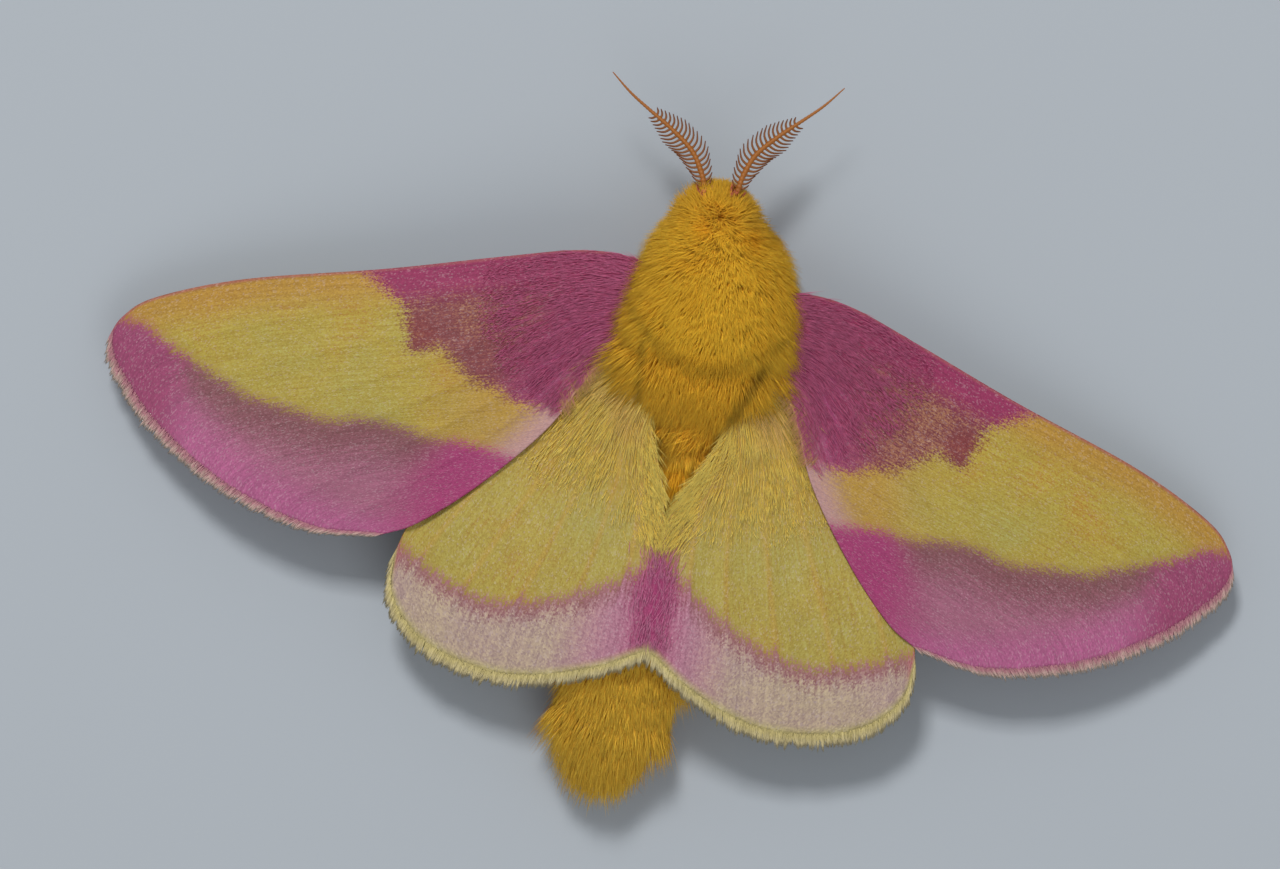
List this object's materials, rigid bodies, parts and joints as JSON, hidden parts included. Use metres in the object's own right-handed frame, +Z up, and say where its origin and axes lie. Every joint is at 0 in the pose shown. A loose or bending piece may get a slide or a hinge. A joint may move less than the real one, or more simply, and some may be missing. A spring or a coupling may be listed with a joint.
{
  "type": "moth",
  "caption": "Furry moth at rest with broad wings half spread like a low tent, feathered antennae, and six legs tucked beneath; it stands on a flat surface.",
  "frame": {"origin": "centre of the whole moth's box in X and Y, on the plane that its feet stand on", "axes": "+X to the moth's left, along the span of the wings; -Y forwards, where the head points; +Z up"},
  "size_m": [0.043, 0.0276, 0.0065],
  "materials": {
    "head_coat": "long golden-yellow fur",
    "thorax_coat": "long golden-yellow fur",
    "abdomen_coat": "bushy orange-yellow fur, rosy underneath",
    "forewing": "fine matt scales, rosy pink with a yellow band",
    "hindwing": "fine matt scales, pale yellow with a pink outer band",
    "leg": "short rosy fur",
    "eye": "smooth dark compound eye",
    "antenna": "orange-brown shaft with darker side branches"
  },
  "bodies": {
    "root": {"head": "head_coat", "eye_left": "eye", "eye_right": "eye", "antenna_left": "antenna", "antenna_right": "antenna", "thorax": "thorax_coat", "abdomen": "abdomen_coat", "forewing_left": "forewing", "forewing_right": "forewing", "hindwing_left": "hindwing", "hindwing_right": "hindwing", "leg_front_left": "leg", "leg_front_right": "leg", "leg_middle_left": "leg", "leg_middle_right": "leg", "leg_hind_left": "leg", "leg_hind_right": "leg"}
  },
  "joints": []
}
